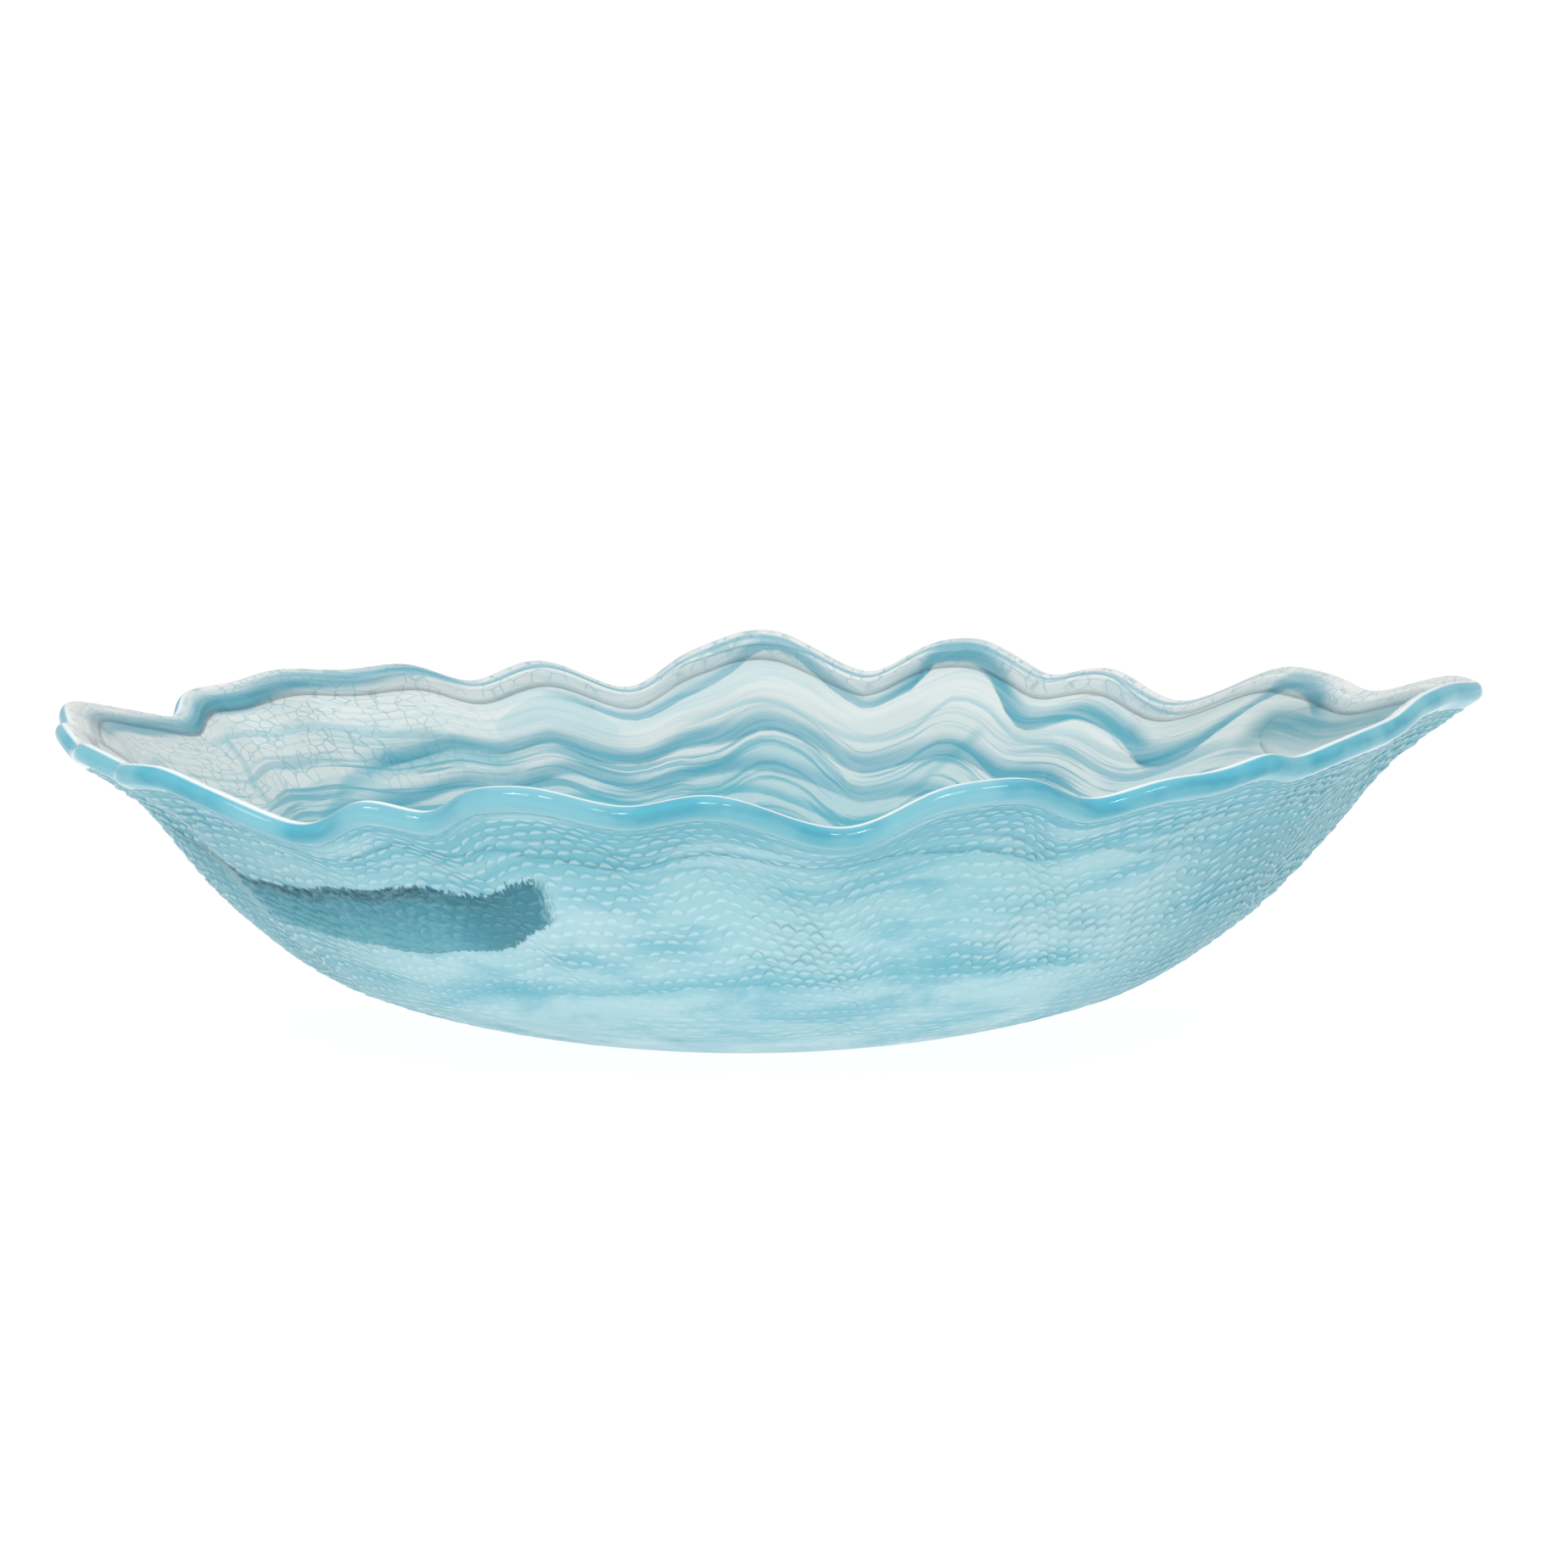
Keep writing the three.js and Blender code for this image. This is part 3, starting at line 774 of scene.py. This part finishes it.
def follow(paint, turns, share, course, wobble, fade):
    """The height above a course in mm, made uneven by wobble, and 1 between its ends, 0 beyond them."""
    points = in_turns(course)
    offset = paint.less(share, paint.curve(turns, points))
    first, last = points[0][0], points[-1][0]
    ends = paint.span(turns, (first, first + fade), (last, last - fade))
    return paint.math("MULTIPLY_ADD", offset, WALL_LENGTH / MM, wobble), ends


def streak_factor(paint, turns, share, course, below, above, wobble):
    """1 on a streak's course, fading to 0 over its widths below and above it and past its ends."""
    offset, ends = follow(paint, turns, share, course, wobble, STREAK_FADE)
    return paint.times(paint.span(offset, (-below, -0.1 * below), (above, 0.2 * above)), ends)


def swing(paint, vector, size, reach, **more):
    """Noise that swings this far to either side of nothing."""
    return paint.times(paint.less(paint.noise(vector, size, **more), 0.5), 2 * reach)


def veil_factor(paint, turns, share, veil, wander):
    """1 inside a lens-shaped veil, with a crisp upper edge and a soft lower one."""
    bearing, height, half_width, half_height, strength = veil
    across = paint.times(paint.less(turns, bearing / 360), 360 / half_width)
    up = paint.times(paint.less(share, height), 1 / half_height)
    far = paint.math("SQRT", paint.math("MULTIPLY_ADD", across, across, paint.times(up, up)))
    far = paint.math("ADD", far, wander)
    lens = paint.times(paint.rise(far, 1.0, 0.95), paint.rise(up, -1.0, 0.6))
    return paint.times(lens, strength)


def cell_lines(paint, flow, size, width):
    """Thin outlines of the outside's scales, seen through the glass."""
    place = paint.node("ShaderNodeVectorMath", flow, operation="SCALE")
    paint.feed(place, Scale=1 / size)
    cells = paint.node("ShaderNodeTexVoronoi", feature="DISTANCE_TO_EDGE")
    paint.feed(cells, Vector=place.outputs[0], Scale=1.0, Randomness=0.65)
    return paint.rise(cells.outputs["Distance"], width, 0.0)


def layered(paint, flow, turns, share):
    """The pattern coordinates with their height measured from the course of the layers."""
    parts = paint.node("ShaderNodeSeparateXYZ", flow)
    height = paint.math("DIVIDE", share, paint.curve(turns, in_turns(LAYERS)))
    up = paint.times(height, LAYERS_LEVEL * WALL_LENGTH)
    return paint.node("ShaderNodeCombineXYZ", parts.outputs[0], parts.outputs[1], up).outputs[0]


def stroke_factor(paint, turns, share, course):
    """1 on a thin stroke that runs up the wall."""
    low, high = course[0][0], course[-1][0]
    bearing = paint.curve(share, [(height, degrees / 360) for height, degrees in course])
    off = paint.math("ABSOLUTE", paint.less(turns, bearing))
    line = paint.rise(off, *STROKE_WIDTHS)
    ends = paint.span(share, (low, low + STROKE_FADE), (high, high - STROKE_FADE))
    return paint.times(line, ends)


def lining_colour(paint, flow, turns, share):
    """Milky glass with streaks of aqua."""
    layers = layered(paint, flow, turns, share)
    drift = paint.noise(layers, 30 * MM, 2, 0.5, (2.5, 0.6))
    level = paint.math("MULTIPLY_ADD", drift, 0.16, share)
    depth = paint.ramp(level, *LINING_SHADES)
    veil = paint.noise(layers, 20 * MM, 4, 0.55, (3.2, 0.6), 0.4)
    base = paint.mix(paint.ramp(veil, (0.48, 0.0), (0.7, 0.4)), depth, "#b3d8df")
    ripple = swing(paint, flow, 10 * MM, 0.05)
    for lens in VEILS:
        base = paint.mix(veil_factor(paint, turns, share, lens, ripple), base, "#9bccd7")
    lines = paint.noise(layers, 3.0 * MM, 4, 0.6, (24, 0.9), 0.1)
    fewer = paint.math("MULTIPLY_ADD", paint.rise(share, 0.78, 0.66), 0.7, 0.15)
    fine = paint.times(paint.ramp(lines, (0.47, 0.0), (0.6, 1.0)), fewer)
    base = paint.mix(fine, base, "#62b2c4")
    high = paint.rise(share, 0.6, 0.72)
    left = paint.span(turns, *LEFT_END)
    rim = paint.rise(share, 0.9, 0.94)
    where = paint.math("MAXIMUM", paint.times(left, high), rim)
    patchy = paint.ramp(paint.noise(flow, 12 * MM, detail=2), (0.36, 0.0), (0.52, 1.0))
    cells = cell_lines(paint, flow, CELL_SIZE, 0.09)
    cells = paint.times(cells, paint.times(where, patchy))
    base = paint.mix(paint.times(cells, 0.6), base, "#79b3be")
    for course in STROKES:
        stroke = paint.times(stroke_factor(paint, turns, share, course), 0.35)
        base = paint.mix(stroke, base, PALETTE["aqua"])
    wander = swing(paint, flow, 16 * MM, 1.0)
    uneven = paint.ramp(paint.noise(layers, 6 * MM, 4, 0.6, (7, 0.7)), (0.3, 0.65), (0.65, 1.0))
    bold = [(tint, below, above, inside, course) for _, tint, below, above, inside, _, course in STREAKS]
    for tint, below, above, strength, course in WISPS + bold:
        factor = streak_factor(paint, turns, share, course, below, above, wander)
        factor = paint.times(paint.times(factor, uneven), strength)
        base = paint.mix(factor, base, PALETTE[tint])
    return base


def lining(name):
    """What is seen from inside through the clear glass."""
    paint = Paint(name, Roughness=0.35, IOR=1.5, Specular_IOR_Level=0.2)
    turns, share = paint.place()
    paint.feed(paint.shader, Base_Color=lining_colour(paint, paint.attribute("flow"), turns, share))
    return paint.material


def teal_patch(paint, turns, share, flow, base):
    """The dark patch: ragged upper edge, darkest there, a thin line below and a feathered right end."""
    feather = swing(paint, flow, 1.1 * MM, 0.022, detail=5, rough=0.7, stretch=(1, 3.5))
    stronger = paint.math("MULTIPLY_ADD", paint.rise(turns, 0.66, 0.7), 1.4, 0.6)
    spatter = paint.times(feather, stronger)
    top, bottom = (paint.curve(turns, in_turns(edge)) for edge in (PATCH_TOP, PATCH_BOTTOM))
    above = paint.less(share, bottom)
    height = paint.math("DIVIDE", above, paint.less(top, bottom))
    below_top = paint.math("ADD", paint.less(top, share), spatter)
    above_bottom = paint.math("MULTIPLY_ADD", spatter, 0.4, above)
    inside = paint.times(paint.rise(below_top, 0.0, 0.008), paint.rise(above_bottom, 0.0, 0.005))
    left = paint.rise(turns, 197 / 360, 214 / 360)
    right = paint.rise(paint.math("MULTIPLY_ADD", spatter, 0.12, turns), 253 / 360, 251 / 360)
    shade = paint.ramp(height, *PATCH_SHADES)
    mottle = paint.ramp(paint.noise(flow, 2.5 * MM, 4, 0.65), (0.4, 0.0), (0.62, 0.4))
    shade = paint.mix(mottle, shade, "#6fb0bc")
    end = paint.times(paint.rise(turns, 238 / 360, 247 / 360), 0.75)
    shade = paint.mix(end, shade, "#347c8e")
    factor = paint.times(inside, paint.times(left, right))
    return paint.mix(factor, base, shade)


def seam_factor(paint, turns, share, course, wobble, broken, line_strength, band_strength):
    """A thin broken line along a course, with a faint dull band above it."""
    offset, ends = follow(paint, turns, share, course, wobble, SEAM_FADE)
    line = paint.times(paint.rise(paint.math("ABSOLUTE", offset), 0.65, 0.2), broken)
    band = paint.span(offset, (-0.4, 0.1), (5.0, 0.0))
    factor = paint.math("MAXIMUM", paint.times(line, line_strength), paint.times(band, band_strength))
    return paint.times(factor, ends)


def textured_glass(name):
    """The outside: satin aqua glass whose scales catch the light along their upper edges, with a painted
    highlight there as well.
    """
    paint = Paint(name, Roughness=0.3, IOR=1.5, Specular_IOR_Level=0.35)
    turns, share = paint.place()
    flow = paint.attribute("flow")
    # the painted highlight along the scales' upper edges
    relief = paint.attribute("relief")
    depth = paint.ramp(share, *OUTSIDE_SHADES)
    cloud = paint.noise(flow, 16 * MM, 4, 0.55, (2.8, 0.8), 0.5)
    base = paint.mix(paint.ramp(cloud, (0.36, 0.8), (0.6, 0.0)), depth, "#70b9ca")
    pale = paint.noise(flow, 20 * MM, 3, 0.5, (2.4, 0.8))
    base = paint.mix(paint.ramp(pale, (0.5, 0.0), (0.68, 0.6)), base, "#bcdde3")
    from_front = paint.times(paint.less(turns, 0.75), TURN)
    ends = paint.math("POWER", paint.math("SINE", from_front), 2.0)
    ends = paint.times(paint.rise(ends, 0.25, 0.9), 0.9)
    base = paint.mix(ends, base, "#499dae")
    wander = swing(paint, flow, 6 * MM, 2.5, detail=4)
    for _, tint, below, above, _, outside, course in STREAKS:
        if outside:
            factor = streak_factor(paint, turns, share, course, below + 1.5, above + 1.5, wander)
            base = paint.mix(paint.times(factor, outside), base, PALETTE[tint])
    crinkle = swing(paint, flow, 3 * MM, 1.6, detail=5, rough=0.65)
    broken = paint.ramp(paint.noise(flow, 5 * MM, 3), (0.38, 0.0), (0.5, 1.0))
    for tint, line, band, course in SEAMS:
        factor = seam_factor(paint, turns, share, course, crinkle, broken, line, band)
        base = paint.mix(factor, base, tint)
    # painted highlight: a lighter colour along the scales' upper edges, on top of the light their relief
    # catches
    ledge = paint.ramp(relief, (0.15, 0.0), (0.8, 0.5))
    base = paint.mix(ledge, base, "#d3edf2")
    base = teal_patch(paint, turns, share, flow, base)
    # the painted highlight again, weaker, over the teal patch
    base = paint.mix(paint.times(ledge, 0.35), base, "#a9d5de")
    bump = paint.nodes.new("ShaderNodeBump")
    paint.feed(bump, Strength=0.3, Distance=0.4 * MM, Height=paint.noise(flow, 2.2 * MM, 4, 0.6))
    paint.feed(paint.shader, Base_Color=base, Normal=bump.outputs[0])
    return paint.material


def lip_glass(name):
    """The lip: cyan outside, a painted highlight as a bright line inside its crown, and then the lining's
    colours.
    """
    paint = Paint(name, Roughness=0.05, IOR=1.5)
    turns, share = paint.place()
    flow = paint.attribute("flow")
    across = paint.attribute("relief")
    reach = paint.math("ADD", across, swing(paint, flow, 20 * MM, 0.26, stretch=(1, 2)))
    body = paint.ramp(reach, *LIP_SHADES)
    veil = paint.ramp(paint.noise(flow, 14 * MM, 3, 0.5, (2, 1)), (0.4, 0.0), (0.6, 0.8))
    body = paint.mix(veil, body, "#86c4d1")
    # painted highlight: a near-white line just inside the crown
    body = paint.mix(paint.ramp(across, (0.58, 0.0), (0.64, 1.0)), body, "#eef8f9")
    inside = paint.mix(0.12, lining_colour(paint, flow, turns, share), "#eef4f4")
    line = paint.span(across, (0.78, 0.84), (0.93, 0.87))
    crests = paint.span(turns, *BACK_CRESTS)
    line = paint.times(line, paint.math("MULTIPLY_ADD", crests, 0.5, 0.1))
    inside = paint.mix(line, inside, "#5caabb")
    paint.feed(paint.shader, Base_Color=paint.mix(paint.rise(across, 0.65, 0.72), body, inside))
    return paint.material


# ---------- the pieces ----------

def settle(piece, slot, node, *materials):
    """Gives a piece its materials and its body, and hides the CAD node it stands for. The slot argument is
    not used.
    """
    for material in materials:
        piece.data.materials.append(material)
    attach(piece, "root")
    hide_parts(node)


settle(outer_casing(), "textured_aqua_glass", "outer_textured_casing",
       textured_glass("textured aqua glass"), lining("milky lining"))
clear = clear_casing()
clear.visible_shadow = clear.visible_diffuse = False
paint = Paint("clear glass", Base_Color="#f4fbfb", Roughness=0.03, IOR=1.45, Transmission_Weight=1.0)
settle(clear, "clear_glass", "inner_clear_casing", paint.material)
settle(lip(), "lip_aqua_glass", "lip_wrap", lip_glass("lip glass"))
for node, tint, below, above, _, _, course in STREAKS:
    material = lining(node + " glass")
    slot = "ribbon_teal_glass" if tint == "teal" else "ribbon_aqua_glass"
    settle(ribbon(node, below, above, course), slot, node, material)

# ---------- floor, light and camera ----------

lowest, highest = cad_box
centre = (lowest + highest) / 2

FLOOR_HALF = 30               # metres from the floor's middle to its edges
FLOOR_GAP = 0.2 * MM          # how far it lies below the foot
FLOOR_GLOW = 0.94             # brings it up to the white of the photograph's background
SKY = 0.68                    # strength of the even light from all round
# Soft boxes, all aimed at the bowl: name, place, width, height, watts.
SOFTBOXES = [
    ("overhead", (0, 0.15, 1.6), 1.6, 1.0, 3.0),
    ("front_key", (-0.35, -1.35, 1.25), 1.0, 0.5, 6.0),
    ("front_window_left", (-0.4, -1.1, 1.1), 0.3, 0.1, 1.8),
    ("front_window_right", (0.5, -1.1, 1.1), 0.3, 0.1, 1.8),
]
SENSOR, LENS = 36, 139.7      # mm
DISTANCE = 1.7                # metres from the camera to the point it is aimed at
ELEVATION = math.radians(9)   # of the camera above level
AIM = Vector((centre.x + 5.6 * MM, centre.y + 10 * MM, 69.8 * MM))


def floor():
    mesh = bpy.data.meshes.new("floor")
    corners = [(x * FLOOR_HALF, y * FLOOR_HALF, 0) for x, y in ((-1, -1), (1, -1), (1, 1), (-1, 1))]
    mesh.from_pydata(corners, [], [(0, 1, 2, 3)])
    surface = bpy.data.objects.new("floor", mesh)
    surface.location.z = lowest.z - FLOOR_GAP
    bpy.context.scene.collection.objects.link(surface)
    paint = Paint("pale floor", Base_Color="#6c6c6c", Roughness=0.9, Specular_IOR_Level=0.0,
                  Emission_Color=(1, 1, 1, 1), Emission_Strength=FLOOR_GLOW)
    mesh.materials.append(paint.material)


def softbox(name, place, width, height, power):
    data = bpy.data.lights.new(name, "AREA")
    data.shape = "RECTANGLE"
    data.size, data.size_y, data.energy = width, height, power
    lamp = bpy.data.objects.new(name, data)
    lamp.location = place
    lamp.rotation_mode = "QUATERNION"
    lamp.rotation_quaternion = (centre - Vector(place)).to_track_quat("-Z", "Y")
    lamp.visible_camera = False
    bpy.context.scene.collection.objects.link(lamp)


def studio():
    scene = bpy.context.scene
    scene.view_settings.view_transform = "Standard"
    scene.world = bpy.data.worlds.new("studio")
    scene.world.use_nodes = True
    background = scene.world.node_tree.nodes["Background"]
    background.inputs["Color"].default_value = (1, 1, 1, 1)
    background.inputs["Strength"].default_value = SKY
    for box in SOFTBOXES:
        softbox(*box)


def camera():
    """Level with the photographer's view: a long lens in front of the bowl, a little above its lip."""
    data = bpy.data.cameras.new("camera")
    data.sensor_width, data.lens = SENSOR, LENS
    data.clip_end = 200
    eye = bpy.data.objects.new("camera", data)
    eye.location = AIM + DISTANCE * Vector((0, -math.cos(ELEVATION), math.sin(ELEVATION)))
    eye.rotation_mode = "QUATERNION"
    eye.rotation_quaternion = (AIM - eye.location).to_track_quat("-Z", "Y")
    bpy.context.scene.collection.objects.link(eye)
    bpy.context.scene.camera = eye


floor()
studio()
camera()
